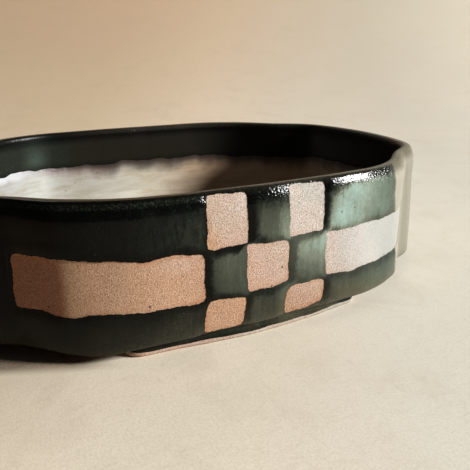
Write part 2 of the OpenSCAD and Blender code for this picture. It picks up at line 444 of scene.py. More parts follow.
def coat(name, s, indices, field, depth, closed, node):
    """A dark coat on the clay, kept where its field is above 0, as a closed solid."""
    places, faces = clip_grid(field(s[:, None], *section[indices].T), closed)
    step = np.append(s, s[0] + PERIMETER) if closed else s
    at_s = np.interp(places[:, 0], np.arange(len(step)), step)
    at_index = np.interp(places[:, 1], np.arange(len(indices)), indices)
    rows = np.arange(len(section))
    inset, z = at_places(at_index, rows, clay_section).T
    out_inset, out_z = at_places(at_index, rows, outwards).T
    face_in, face_z = at_places(at_index, rows, section).T
    distance = field(at_s, face_in, face_z)
    thick = depth(distance, face_in)
    top = place(at_s, inset + thick * out_inset, z + thick * out_z)
    under = place(at_s, inset - KEYED * out_inset, z - KEYED * out_z)

    # Where the glaze runs thin: on the ridge of the bottom edge and on top of the lip
    above_ridge = np.clip(face_z - RIDGE_Z, 0, None)
    thin = np.where(face_in > 2.2, bump(face_z, RIDGE_Z + 0.15, 0.45), np.exp(-above_ridge / 2.6))
    thin = np.maximum(thin, bump(face_in, 5.2, 2.1) * (face_z > HEIGHT - 3))

    # How much a place lies to the right of a bare patch, or below it
    rise_s = wall_field(at_s + LEE_REACH, face_z) - wall_field(at_s - LEE_REACH, face_z)
    rise_z = wall_field(at_s, face_z + LEE_REACH) - wall_field(at_s, face_z - LEE_REACH)
    lee = np.clip(rise_s / (2 * LEE_REACH), -1, 1) + 0.6 * np.clip(-rise_z / (2 * LEE_REACH), 0, 1)
    values = {"edge": np.clip(distance, 0, EDGE_FAR), "thin": thin, "inner": 1.0 * (face_in > LIP_INSIDE),
              "lee": smooth_step(lee, -0.5, 0.7)}
    values = {key: np.tile(value, 2) for key, value in values.items()}
    tops, others = shell_faces(faces, len(top))
    new_piece(name, np.vstack([top, under]), tops, others, node, GLAZE, values)


def slab(name, s, loop, node):
    """A clay slab: one outline, as inset and height, swept along the plan from one place to another."""
    rows, columns = len(s), len(loop)
    every_s, every_z = np.repeat(s, columns), np.tile(loop[:, 1], rows)
    points = place(every_s, np.tile(loop[:, 0], rows), every_z)
    faces = [turned(face) for face in tube_faces(rows, columns)]
    sides = [face for k, face in enumerate(faces, 1) if k % columns]
    flat = faces[columns - 1::columns] + [ring_cap(0, columns), ring_cap(rows - 1, columns)[::-1]]
    edge = np.clip(-wall_field(every_s, every_z), 0, EDGE_FAR)
    new_piece(name, points, sides, flat, node, CLAY, {"edge": edge})


# Directions of the photograph's camera along the floor
YAW = 0.5102
level = Vector((math.sin(YAW), math.cos(YAW), 0))
right = Vector((math.cos(YAW), -math.sin(YAW), 0))


class Nodes:
    """Short ways to add nodes to a material and link them."""

    def __init__(self, name):
        self.material = bpy.data.materials.new(name)
        self.material.use_nodes = True
        self.tree = self.material.node_tree
        self.shader = self.tree.nodes["Principled BSDF"]
        self.position = self.add("ShaderNodeTexCoord").outputs["Object"]
        split = self.put(self.add("ShaderNodeSeparateXYZ"), Vector=self.position)
        self.x, self.y, self.z = split.outputs
        self.colour = None

    def add(self, kind, **settings):
        node = self.tree.nodes.new(kind)
        for key, value in settings.items():
            setattr(node, key, value)
        return node

    def link(self, source, target):
        if hasattr(source, "is_output"):
            self.tree.links.new(source, target)
        else:
            target.default_value = source

    def put(self, node, **inputs):
        """Links or sets the inputs of a node by name."""
        for name, source in inputs.items():
            self.link(source, node.inputs[name.replace("_", " ")])
        return node

    def value(self, name):
        return self.add("ShaderNodeAttribute", attribute_name=name).outputs["Fac"]

    def math(self, operation, a, b, clamp=False):
        node = self.add("ShaderNodeMath", operation=operation, use_clamp=clamp)
        self.link(a, node.inputs[0])
        self.link(b, node.inputs[1])
        return node.outputs[0]

    def times(self, product, *factors):
        for factor in factors:
            product = self.math("MULTIPLY", product, factor)
        return product

    def plus(self, total, *terms):
        for term in terms:
            total = self.math("ADD", total, term)
        return total

    def ramp(self, value, low, high, to_low=0.0, to_high=1.0, kind="SMOOTHSTEP"):
        node = self.add("ShaderNodeMapRange", interpolation_type=kind)
        for target, source in zip(node.inputs, (value, low, high, to_low, to_high)):
            self.link(source, target)
        return node.outputs[0]

    def by_x(self, low, high, *levels, **settings):
        """A ramp from left to right, between places in millimetres."""
        return self.ramp(self.x, low * MM, high * MM, *levels, **settings)

    def by_z(self, low, high, *levels, **settings):
        """The same from low to high."""
        return self.ramp(self.z, low * MM, high * MM, *levels, **settings)

    def swing(self, noise, to_low, to_high):
        """A noise stretched between two values."""
        return self.ramp(noise, 0.3, 0.7, to_low, to_high)

    def mix(self, factor, a, b, blend="MIX"):
        node = self.add("ShaderNodeMix", data_type="RGBA", blend_type=blend)
        colours = [socket for socket in node.inputs if socket.type == "RGBA"]
        for source, target in zip((factor, a, b), (node.inputs["Factor"], *colours)):
            self.link(source, target)
        return [socket for socket in node.outputs if socket.type == "RGBA"][0]

    def paint(self, share, *colour):
        """Lays a colour over the present one, on a share of the surface."""
        self.colour = self.mix(share, self.colour, rgb(*colour))

    def tint(self, share, *factors):
        """Multiplies the present colour by red, green and blue factors, on a share of the surface."""
        tinted = self.mix(1.0, self.colour, rgb(*factors), "MULTIPLY")
        self.colour = self.mix(share, self.colour, tinted)

    def stops(self, value, *rows):
        """A colour ramp: each row is a position, with red, green and blue or one grey."""
        node = self.add("ShaderNodeValToRGB")
        elements = node.color_ramp.elements
        while len(elements) < len(rows):
            elements.new(0.5)
        for element, (position, *colour) in zip(elements, rows):
            element.position = position
            element.color = rgb(*colour)
        self.link(value, node.inputs[0])
        return node.outputs[0]

    def along(self, x, y, z):
        """Distance along a direction, in metres."""
        node = self.add("ShaderNodeVectorMath", operation="DOT_PRODUCT")
        self.link(self.position, node.inputs[0])
        self.link((x, y, z), node.inputs[1])
        return node.outputs["Value"]

    def scaled(self, *scale):
        return self.put(self.add("ShaderNodeMapping"), Vector=self.position, Scale=scale).outputs[0]

    def noise(self, scale, detail, rough, vector=None, distortion=0.0):
        node = self.add("ShaderNodeTexNoise")
        self.put(node, Vector=vector or self.position, Scale=scale, Detail=detail, Roughness=rough,
                 Distortion=distortion)
        return node.outputs[0]

    def cells(self, scale):
        return self.put(self.add("ShaderNodeTexVoronoi"), Vector=self.position, Scale=scale)

    def spots(self, scale, size, share):
        """1 inside small round spots, in only a share of the cells, fading out at their edges."""
        node = self.cells(scale)
        near = self.ramp(node.outputs["Distance"], size, size * 0.5)
        pick = self.put(self.add("ShaderNodeSeparateColor"), Color=node.outputs["Color"])
        return self.times(near, self.math("LESS_THAN", pick.outputs[0], share))

    def finished(self, rough, shine, relief, depth, strength):
        """The material in its present colour, with a relief whose depth is in millimetres."""
        bump = self.put(self.add("ShaderNodeBump"), Strength=strength, Distance=depth * MM, Height=relief)
        self.put(self.shader, Base_Color=self.colour, Roughness=rough, Specular_IOR_Level=shine,
                 Normal=bump.outputs[0])
        return self.material


def rgb(*levels):
    """A colour from red, green and blue, or from one grey."""
    return (*levels, 1) if len(levels) == 3 else (*levels * 3, 1)


def dark_glaze():
    """Glossy green-black glaze: celadon to the right, partly painted light; black by bare clay, brown where
    it runs thin.
    """
    n = Nodes("dark_glaze")
    edge, thin, inner, lee = (n.value(name) for name in ("edge", "thin", "inner", "lee"))
    cloud = n.noise(45, 3, 0.55, distortion=0.5)
    streak = n.noise(1, 3, 0.6, n.scaled(420, 420, 45))
    blotch = n.noise(1, 4, 0.65, n.scaled(520, 520, 150))
    mottle = n.noise(620, 4, 0.65)

    # How light the glaze is along the vessel, less so low down and at the back, with streaks and blotches
    # Partly painted light: the lighter celadon on the right and high up stands in for the lamp's glow there,
    # and the darkness to the left for shade
    tone = n.stops(n.by_x(-100, 140, kind="LINEAR"), (0, 0), (0.14, 0.012), (0.2, 0.05), (0.27, 0.13),
                   (0.325, 0.43), (0.42, 0.37), (0.447, 0.7), (0.5, 0.79), (0.59, 0.97), (0.68, 0.61),
                   (0.74, 0.43), (1, 0.4))
    low = n.math("MAXIMUM", n.by_x(0, 25, 0.48, 0.3), n.by_x(35, 70, 0.3, 0.68))
    streaks = n.swing(streak, n.by_x(0, 30, 0.94, 0.98), n.by_x(0, 30, 1.05, 1.015))
    tone = n.times(tone, n.by_z(8, 50, low, 1), n.ramp(n.y, -0.02, 0.06, 1, 0.6),
                   n.swing(cloud, 0.9, 1.06), streaks, n.ramp(mottle, 0.25, 0.75, 0.94, 1.05))
    left_side = n.by_x(-28, -48)
    darkest = n.ramp(left_side, 0, 1, n.by_x(0, 30, 0.91, 0.965), 0.3, "LINEAR")
    lightest = n.ramp(left_side, 0, 1, 1.05, 1.45, "LINEAR")
    tone = n.times(tone, n.ramp(blotch, 0.36, 0.6, darkest, lightest))

    # Black round the bare patches, mostly to the right of them and below, and less to the right of the vessel
    halo = n.plus(edge, n.swing(cloud, -0.7, 0.7), n.swing(mottle, -0.35, 0.35))
    lee_reach = n.by_z(30, 50, 4.8, n.by_x(10, 30, 6.6, 4.6))
    reach = n.ramp(lee, 0, 1, n.by_x(-20, 35, 4.8, 3.0), lee_reach)
    full = n.ramp(lee, 0, 1, 0.3, n.by_x(10, 30, 1.7, 0.8))
    open_side = n.by_x(-24, -12, 1, n.ramp(lee, 0, 1, 0.25, 1.15))
    bare = n.times(n.ramp(halo, reach, full), open_side)
    blackest = n.ramp(n.plus(n.z, n.swing(cloud, -0.006, 0.006)), n.by_x(-4, 6, 0.034, 0.043),
                      n.by_x(-4, 6, 0.045, 0.051), n.by_x(-30, 10, 0.95, 0.42), 0.95)
    bare = n.math("MULTIPLY", bare, n.times(blackest, n.by_x(34, 46, 1, 0.6)), clamp=True)
    dim = n.times(n.ramp(edge, 9.0, 1, 0, 0.3), lee, n.by_x(24, 30))
    tone = n.times(tone, n.math("SUBTRACT", 1, bare), n.math("SUBTRACT", 1, dim))

    # Darker on the feet towards their ends, a painted shade where the wall's overhang shades them, and darker
    # on the lip
    foot_shade = n.times(n.by_x(-40, 20, 0.3, 0.95), n.by_x(36, 50, 1, 0.35))
    top = n.plus(n.z, n.swing(mottle, -0.0016, 0.0016))
    top = n.ramp(top, n.by_x(28, 50, 0.067, 0.0688), n.by_x(28, 50, 0.0555, 0.0645))
    tone = n.times(tone, n.by_z(5.2, 7.5, foot_shade, 1), top)

    # Pale flecks, a painted sheen of flecks in a line along the lip on the left, and a lighter zone low on
    # the left
    fleck = n.ramp(n.noise(1100, 4, 0.75), 0.45, 0.68)
    flecked = n.times(n.ramp(streak, 0.4, 0.7, 0.3, 1.4), fleck)
    lip_sheen = n.times(n.by_z(66.2, 67.2), n.by_z(69.2, 68.2), n.by_x(-12, -35))
    tone = n.plus(tone, n.times(lip_sheen, n.ramp(fleck, 0, 1, 0.03, 0.22)),
                  n.times(flecked, n.by_x(-90, -50, 0.02, 0.075)),
                  n.times(n.by_z(24, 10, 0, 0.085), n.by_x(10, -30)))

    # The inside: darker under the rim and along its lower edge, with a painted highlight at the bend of the
    # back, where the lamp's reflection falls
    within = n.times(n.by_x(-50, -28, 0.128, 0.096), n.by_x(100, 50, 0.35, 1.12),
                     n.swing(mottle, 0.9, 1.1), n.by_z(66.5, 61, 0.1, 1), n.by_z(46, 51, 0.6, 1))
    bend = n.times(n.by_x(-75, -62.5), n.by_x(-50, -62.5), n.by_z(47.5, 53, 0.3, 1),
                   n.by_z(64, 53.5, 0.35, 1), inner, n.ramp(n.y, 0.03, 0.05))
    tone = n.ramp(inner, 0, 1, tone, n.plus(within, n.times(bend, 0.14)), "LINEAR")

    # The colour of each lightness, then greener, cooler or browner in places, with the painted highlight at
    # the bend cooler too
    n.colour = n.stops(tone, (0, 0.0018, 0.002, 0.0016), (0.12, 0.0105, 0.013, 0.0095),
                       (0.43, 0.064, 0.071, 0.051), (0.7, 0.16, 0.188, 0.144), (1, 0.28, 0.38, 0.335))
    green = n.times(n.by_x(52, 68), n.by_z(40, 48))
    n.tint(green, 0.82, 0.92, 0.95)
    cool_and_highlight = n.math("MAXIMUM", n.times(n.by_x(45, 85), n.by_z(30, 20)), bend)
    n.tint(cool_and_highlight, 0.97, 1.19, 1.28)
    olive = n.times(n.by_x(-30, 10), n.ramp(n.z, 0.021, n.by_x(35, 60, 0.009, 0.004)))
    n.tint(olive, 1.16, 1, 0.84)
    umber = n.times(n.by_x(0, -30), n.by_z(26, 16), n.ramp(cloud, 0.35, 0.62, 0.2, 1))
    n.tint(umber, 1.7, 1.38, 1.22)
    n.tint(n.times(inner, n.by_x(-50, -28)), 1.28, 0.95, 0.9)

    # Painted sheen round the right end: a pale colour on the glaze that stands in for its bright reflection
    # there
    end_sheen = n.ramp(n.plus(n.along(1, 0, 0.24), n.swing(cloud, -0.0008, 0.0008)), 0.0918, 0.0945)
    forward = n.ramp(n.plus(n.y, n.swing(cloud, -0.02, 0.02)), 0.05, -0.02)
    end_sheen = n.times(end_sheen, n.ramp(inner, 0.7, 0.3), forward)
    pale = n.mix(n.by_x(100, 113), rgb(0.27, 0.25, 0.2), rgb(0.185, 0.172, 0.132))
    pale = n.mix(n.swing(streak, 0, 0.2), pale, rgb(0.3, 0.28, 0.22))
    pale = n.mix(n.by_z(63, 68.5), pale, rgb(0.08, 0.068, 0.04))
    n.colour = n.mix(end_sheen, n.colour, pale)

    # Brown where the glaze is thin, and dark specks
    on_lip = n.by_z(50, 60, 1, n.by_x(-70, 20, 0.1, 0.8))
    worn = n.times(thin, n.swing(n.noise(900, 4, 0.6), 0.35, 1), on_lip)
    brown = n.mix(n.by_x(-70, 50), rgb(0.05, 0.043, 0.029), rgb(0.1, 0.09, 0.062))
    n.colour = n.mix(worn, n.colour, brown)
    n.paint(n.times(n.spots(260, 0.16, 0.25), 0.6), 0.008, 0.007, 0.005)

    # Gloss, and a fine relief that is grained on the lip, less so where the lip shines in one band
    rough = n.ramp(n.math("MAXIMUM", tone, end_sheen), 0, 0.8, 0.1, 0.27)
    rough = n.times(rough, n.by_z(62, 65, 1, 0.9))
    rough = n.math("MAXIMUM", rough, n.ramp(inner, 0.3, 0.7, 0, 0.3))
    dome = n.cells(880).outputs["Distance"]
    flat = n.times(n.by_x(12, 22), n.by_x(60, 50))
    lip_grain = n.times(dome, dome, n.by_x(-30, 30, -0.35, -1.4), n.ramp(flat, 0, 1, 1, 0.3),
                        n.by_z(61, 64.5), n.ramp(end_sheen, 0, 1, 1, 0.1))
    relief = n.plus(n.times(n.noise(2600, 2, 0.5), 0.12), n.times(mottle, 0.3), lip_grain)
    relief = n.math("SUBTRACT", relief, n.times(n.spots(300, 0.12, 0.2), 0.7))
    return n.finished(rough, 0.1, relief, depth=0.18, strength=0.8)


def bare_clay():
    """Bare sandy stoneware: orange buff low down and on the left, pink to white high up and on the right,
    partly painted light.
    """
    n = Nodes("bare_clay")
    edge, washed = n.value("edge"), n.value("washed")
    cloud = n.noise(60, 3, 0.6)
    # How pale the clay is: partly its own colour, partly painted light, whiter and greyer to the right where
    # the lamp's sheen falls, more orange and darker to the left where the wall lies in shade
    evened = n.times(n.by_x(29, 36), n.by_z(22, 46, 0.14, -0.14, "LINEAR"))
    pale = n.plus(n.along(9, 0, 14), n.swing(cloud, -0.2, 0.02), evened)
    pale = n.math("ADD", pale, washed, clamp=True)
    n.colour = n.stops(pale, (0, 0.575, 0.348, 0.22), (0.38, 0.6, 0.43, 0.347),
                       (0.52, 0.605, 0.457, 0.362), (0.75, 0.64, 0.56, 0.503),
                       (0.88, 0.65, 0.58, 0.53), (1, 0.57, 0.542, 0.502))
    n.tint(n.by_x(28, 45), 0.82, 0.87, 0.9)
    n.paint(n.by_x(42, 83, 0, 0.9), 0.305, 0.305, 0.285)
    # Painted shade: darker, redder clay past the fold at the front left, which turns away from the lamp
    n.tint(n.by_x(-86, -91), 0.66, 0.5, 0.48)
    low = n.times(n.by_z(26, 10), n.by_x(-30, 20, 0.15, 0.9))
    n.tint(low, 0.8, 0.72, 0.64)
    flash = n.times(n.ramp(edge, 3, 0.2), n.ramp(cloud, 0.42, 0.66, 0.1, 0.8),
                    n.ramp(pale, 0.3, 0.9, 0.8, 0.05))
    n.paint(flash, 0.46, 0.2, 0.085)
    corner = n.times(n.by_x(-21.5, -30), n.by_z(57, 48), n.by_z(43, 46), n.by_x(-34, -31))
    n.paint(n.times(corner, 0.6), 0.6, 0.34, 0.17)
    grain = n.noise(1350, 3, 0.8)
    fine = n.noise(2700, 2, 0.6)
    sandy = n.times(n.by_x(-45, -30, 1, 1.1), n.by_x(28, 65, 1, 0.3))
    # Painted shade in the hollows of the grain
    pore_shade = n.times(n.ramp(grain, 0.62, 0.33), sandy)
    n.tint(pore_shade, 0.62, 0.56, 0.5)
    sand = n.times(n.spots(1250, 0.34, 0.45), sandy, 0.4)
    n.tint(sand, 0.42, 0.34, 0.27)
    # Painted glints on the high points of the grain
    grain_glints = n.times(n.ramp(fine, 0.54, 0.72, 0, 0.33), sandy)
    n.paint(grain_glints, 0.8, 0.72, 0.64)
    iron = n.math("MAXIMUM", n.spots(190, 0.14, 0.16), n.spots(420, 0.16, 0.06))
    n.paint(n.times(iron, 0.8), 0.06, 0.033, 0.02)
    relief = n.times(n.plus(n.times(grain, 0.9), n.times(fine, 0.5)), sandy)
    relief = n.math("SUBTRACT", relief, n.times(iron, 0.4))
    return n.finished(0.93, 0.2, relief, depth=0.6, strength=0.9)


def pale_liner():
    """Satin cream liner, lilac and brown where it meets the dark glaze, with brown spots."""
    n = Nodes("pale_liner")
    below = n.value("below")
    cloud = n.noise(70, 4, 0.6)
    brush = n.noise(1, 3, 0.6, n.scaled(60, 60, 420))
    mottle = n.noise(420, 4, 0.6)
    n.colour = n.stops(n.by_x(-100, 60, kind="LINEAR"), (0, 0.34, 0.325, 0.305),
                       (0.1, 0.335, 0.335, 0.325), (0.26, 0.47, 0.475, 0.44), (0.4, 0.36, 0.335, 0.285),
                       (0.56, 0.45, 0.43, 0.38), (0.7, 0.49, 0.45, 0.36), (1, 0.4, 0.28, 0.185))
    n.tint(n.ramp(brush, 0.62, 0.35, 0, 0.8), 0.84, 0.8, 0.74)
    n.tint(n.ramp(cloud, 0.48, 0.75, 0, 0.5), 0.8, 0.7, 0.56)
    wavy = n.plus(below, n.swing(cloud, -1.8, 1.6))
    stain = n.stops(n.by_x(-75, 0, kind="LINEAR"), (0, 0.48, 0.49, 0.5), (0.3, 0.33, 0.28, 0.27),
                    (0.6, 0.13, 0.083, 0.066), (1, 0.045, 0.03, 0.024))
    reach = n.by_x(-60, -10, 6.5, 11.5)
    n.colour = n.mix(n.ramp(wavy, reach, 1.5, 0, 0.9), n.colour, stain)
    dark = n.times(n.ramp(wavy, 2.4, 0.2), n.ramp(mottle, 0.35, 0.62), n.by_x(-85, -30, 0, 0.9))
    n.paint(dark, 0.07, 0.036, 0.025)
    border = n.times(n.ramp(below, 4.6, 0, 0, 0.9), n.by_x(-60, -30, 0, 1))
    n.paint(border, 0.022, 0.014, 0.011)
    spots = n.math("MAXIMUM", n.spots(130, 0.14, 0.16), n.spots(330, 0.2, 0.1))
    n.paint(n.times(spots, n.by_x(-90, 0, 0.15, 0.65)), 0.14, 0.075, 0.035)
    relief = n.plus(n.times(mottle, 0.6), n.times(brush, 0.8))
    return n.finished(n.swing(mottle, 0.36, 0.52), 0.35, relief, depth=0.22, strength=0.7)


def paper():
    """Pale paper under the vessel, with painted shade: darker and browner to the left and far back, and a
    painted shadow at the front left.
    """
    n = Nodes("paper")
    fibre = n.noise(900, 4, 0.7)
    cloud = n.noise(7, 3, 0.5)
    backwards, rightwards = n.along(*level), n.along(*right)
    # Painted shade: browner and darker to the left and far back on the left, away from the lamp
    n.colour = n.stops(n.ramp(rightwards, -0.25, 0.35, kind="LINEAR"), (0.08, 0.78, 0.645, 0.445),
                       (0.38, 0.92, 0.8, 0.63), (0.62, 0.74, 0.71, 0.62), (0.87, 0.6, 0.585, 0.52))
    n.paint(n.swing(cloud, 0, 0.25), 0.76, 0.7, 0.57)
    far = n.mix(n.ramp(rightwards, -0.1, 0.45), rgb(0.58, 0.4, 0.25), rgb(0.45, 0.385, 0.285))
    n.colour = n.mix(n.times(n.ramp(backwards, 0.1, 1.2), n.ramp(rightwards, 1.6, -0.45)), n.colour, far)
    # Painted shade on the floor beside the vessel on its left
    beside_shade = n.times(n.ramp(rightwards, -0.01, -0.17), n.ramp(backwards, 0.2, 0), 0.65)
    n.paint(beside_shade, 0.42, 0.3, 0.175)
    # Painted shadow on the floor at the front left of the vessel
    painted_shadow = n.ramp(n.along(-0.386, -0.922, 0), 0.1178, 0.1095, 0, 0.93)
    painted_shadow = n.times(painted_shadow, n.by_x(-68, -90), n.by_x(-200, -140), n.ramp(n.y, -0.02, -0.05))
    n.paint(painted_shadow, 0.135, 0.09, 0.056)
    weave = n.math("MAXIMUM", n.noise(1, 4, 0.7, n.scaled(130, 460, 130), 0.8),
                   n.noise(1, 4, 0.7, n.scaled(460, 130, 460), 0.8))
    n.paint(n.ramp(weave, 0.5, 0.75, 0, 0.22), 0.5, 0.42, 0.31)
    n.paint(n.ramp(fibre, 0.35, 0.7, 0, 0.3), 0.52, 0.44, 0.34)
    smudge = n.noise(26, 5, 0.65, distortion=0.6)
    n.paint(n.ramp(smudge, 0.45, 0.75, 0, 0.22), 0.5, 0.4, 0.27)
    n.paint(n.times(n.spots(150, 0.09, 0.12), 0.35), 0.4, 0.32, 0.24)
    return n.finished(0.85, 0.2, fibre, depth=0.2, strength=0.35)


GLAZE, CLAY, LINER, PAPER = dark_glaze(), bare_clay(), pale_liner(), paper()

# Lobes of the vessel, each from notch to notch along the plan
LOBES = {
    "front": (-SIDE_S, SIDE_S),
    "right": (SIDE_S, SIDE_S + END_S),
    "back": (SIDE_S + END_S, 3 * SIDE_S + END_S),
    "left": (3 * SIDE_S + END_S, 3 * SIDE_S + 2 * END_S),
}
NOTCH_ZONE = 6


def by_notches(start, end):
    """The two ends of a lobe, where points lie closer together."""
    return [(start, start + NOTCH_ZONE), (end - NOTCH_ZONE, end)]


# Outline of the clay wall in cross-section, from the floor up outside, over the lip and down inside
first = closest_row(clay_section[:lip_index, 1], FLOOR_TOP)
lip_end = inside_index(HEIGHT - 5)
cove_index = inside_index(FLOOR_TOP + COVE_H)
wall_rows = np.concatenate([rows_between(first, lip_index, 48), rows_between(lip_index, lip_end, 34)[1:],
                            rows_between(lip_end, cove_index, 20)[1:]])
wall_loop = np.vstack([clay_section[wall_rows], [[CLAY_IN, FLOOR_TOP]]])

for lobe, (start, end) in LOBES.items():
    slab(lobe + "_slab", stations(start, end, 1.1, 0.6, by_notches(start, end)), wall_loop, lobe + "_wall")


# Dark glaze on the outside of each lobe, from under the bottom edge to the lip
def patched_field(s, inset, z):
    return wall_field(s, z)


def plain_field(s, inset, z):
    return np.full(np.broadcast(s, z).shape, PLAIN_LOBE)


def outer_depth(distance, inset):
    return coat_depth(distance)


# Number of rows round the bottom edge
CURL_ROWS = 95
for lobe, (start, end) in LOBES.items():
    patched = lobe in ("front", "back")
    spacing, row_step = (0.58, 5) if patched else (1.1, 11)
    rows = np.concatenate([rows_between(0, CURL_ROWS, 14)[:-1], np.arange(CURL_ROWS, lip_index, row_step),
                           [lip_index]])
    coat(lobe + "_coat", stations(start, end, spacing, 0.55, by_notches(start, end)), rows,
         patched_field if patched else plain_field, outer_depth, False, lobe + "_glaze")


# Dark glaze over the lip and down the inside to its wavy edge
def rim_field(s, inset, z):
    return np.where(inset > LIP_MIDDLE, z - band_height(s), wall_field(s, z))


def rim_depth(distance, inset):
    """Thickness of the rim's coat, whose inner edge lies on the liner."""
    over_liner = coat_depth(distance, GLAZE_T, LINER_T + 0.04, 2.0)
    return np.where(inset > LIP_MIDDLE, over_liner, coat_depth(distance))


# Points of the rim lie closer together over the checks and at the notches
check_reach = along_wall(36)
fine_parts = []
for middle in (0, PERIMETER / 2):
    fine_parts.append((middle - check_reach, middle + check_reach))
    fine_parts += [(middle + side * SIDE_S - 5, middle + side * SIDE_S + 5) for side in (-1, 1)]
ring = stations(-PERIMETER / 4, 3 * PERIMETER / 4, 1.0, 0.55, fine_parts)[:-1]
inner_start, band_top, band_low = inside_index(HEIGHT - 4), inside_index(50.5), inside_index(43.5)
rim_rows = np.unique(np.concatenate([
    rows_between(lip_index, top_index, 18), rows_between(top_index, inner_start, 12),
    rows_between(inner_start, band_top, 12), rows_between(band_top, band_low, 13)]))
coat("rim_coat", ring, rim_rows, rim_field, rim_depth, True, "rim_glaze")

# Pale glaze on the lower inside and the floor, which runs a little way under the dark glaze. Near the middle
# its rings are shares of the last one, and count as far below the dark edge.
LINER_TOP, FLOOR_REACH, FLOOR_BELOW = 49.5, 28.0, 33.0
SHRINK = [0.9, 0.78, 0.64, 0.48, 0.32, 0.16, 0.05]
liner_s = stations(0, PERIMETER, 1.1, 0.8, [])[:-1]
floor_index = top_index + closest_row(section[top_index:, 0], FLOOR_REACH)
liner_rows = np.concatenate([rows_between(inside_index(LINER_TOP), cove_index, 30),
                             rows_between(cove_index, floor_index, 22)[1:]])


def liner_shell(lift):
    """Rings of the liner's surface, from its top edge to the middle of the floor, lifted off the clay."""
    rings = [place(liner_s, *(clay_section[row] + lift * outwards[row])) for row in liner_rows]
    last = rings[-1]
    for share in SHRINK:
        inner = last * [share, share, 1]
        flow = np.sin(inner[:, 0] * 70) * np.cos(inner[:, 1] * 90 + 0.6)
        inner[:, 2] += 0.00012 * flow * (1 - share)
        rings.append(inner)
    return np.vstack(rings)


columns = len(liner_s)
ring_count = len(liner_rows) + len(SHRINK)
shell_size = ring_count * columns
liner_points = np.vstack([liner_shell(LINER_T), liner_shell(-KEYED)])
liner_faces = tube_faces(ring_count, columns) + [ring_cap(ring_count - 1, columns)]
liner_backs = [[v + shell_size for v in reversed(face)] for face in liner_faces]
liner_backs += [turned(face) for face in ring_faces(0, ring_count, columns)]
below = np.concatenate([
    np.tile(band_height(liner_s), len(liner_rows)) - np.repeat(section[liner_rows, 1], columns),
    np.full(len(SHRINK) * columns, FLOOR_BELOW)])
new_piece("liner_coat", liner_points, liner_faces, liner_backs, "liner_glaze", LINER,
          {"below": np.tile(below, 2)})

# Floor slab under the liner, whose edge carries on the outside of the walls. Colour by the bare edge starts a
# little above the slab's underside.
SLAB_REACH, SLAB_EDGE_Z = 30, 8.5
edge_rows = rows_between(0, first, 26)
slab_rings = np.vstack([clay_section[edge_rows], [[SLAB_REACH, FLOOR_TOP], [SLAB_REACH, FOOT_H + 0.2]]])
slab_points = np.vstack([place(liner_s, inset, z) for inset, z in slab_rings])
slab_outer = tube_faces(len(edge_rows), columns)
over, under = len(edge_rows), len(edge_rows) + 1
slab_flat = ring_faces(over - 1, over, columns) + ring_faces(under, 0, columns)
slab_flat += [ring_cap(over, columns), ring_cap(under, columns)[::-1]]
slab_z = np.maximum(slab_rings[:, 1], SLAB_EDGE_Z)
slab_field = wall_field(np.tile(liner_s, len(slab_rings)), np.repeat(slab_z, columns))
new_piece("floor_plate", slab_points, slab_outer, slab_flat, "floor_slab", CLAY,
          {"edge": np.clip(-slab_field, 0, EDGE_FAR)})


# Feet: bars under the crowns with rounded ends, bare at the bottom
def foot_outline(crown, crown_r, facing, foot_l, count):
    """Even points round a foot from the middle of its outer face, with outward directions and distances."""
    mid_r = crown_r - FOOT_MID
    half = (foot_l - FOOT_W) / 2 / mid_r
    outer_r, inner_r = mid_r + FOOT_W / 2, mid_r - FOOT_W / 2
    steps = 40
    outline = []
    for r, a, b in ((outer_r, 0, half), (None, half, 0), (inner_r, half, -half), (None, -half, math.pi),
                    (outer_r, -half, 0)):
        if r is None:
            angles = facing + a + b + np.linspace(0, math.pi, steps, endpoint=False)
            outline.append(crown + mid_r * unit(facing + a) + FOOT_W / 2 * unit(angles))
        else:
            outline.append(crown + r * unit(facing + np.linspace(a, b, steps, endpoint=False)))
    outline = np.vstack(outline + [outline[0][:1]])
    lengths = lengths_along(outline)
    places = np.linspace(0, lengths[-1], count, endpoint=False)
    even = at_places(places, lengths, outline)
    return even, -inward(even), places, lengths[-1]


FEET = {
    "front": (side_crown, SIDE_CROWN_R, -math.pi / 2, SIDE_FOOT_L, 440),
    "back": (side_crown * [1, -1], SIDE_CROWN_R, math.pi / 2, SIDE_FOOT_L, 440),
    "right": (end_crown, END_CROWN_R, 0.0, END_FOOT_L, 240),
    "left": (end_crown * [-1, 1], END_CROWN_R, math.pi, END_FOOT_L, 240),
}
# The front foot stops a little short on the right, and both its ends are set in
FOOT_SHORT, FOOT_TURN, FOOT_END_X = 8.5, 2.9, 58.0
# Inset and height of each level of a foot, from the floor up
FOOT_LEVELS = [(0.6, 0.0), (-0.5, 0.1), (-1.1, 0.4), (-1.45, 1.0), (-1.45, 1.6), (-1.2, 2.2), (-0.75, 2.8),
               (-0.3, 3.4), (-0.05, 4.2), (0.0, 5.2), (0.0, FOOT_H + 0.3)]
foot_insets, foot_heights = np.array(FOOT_LEVELS).T
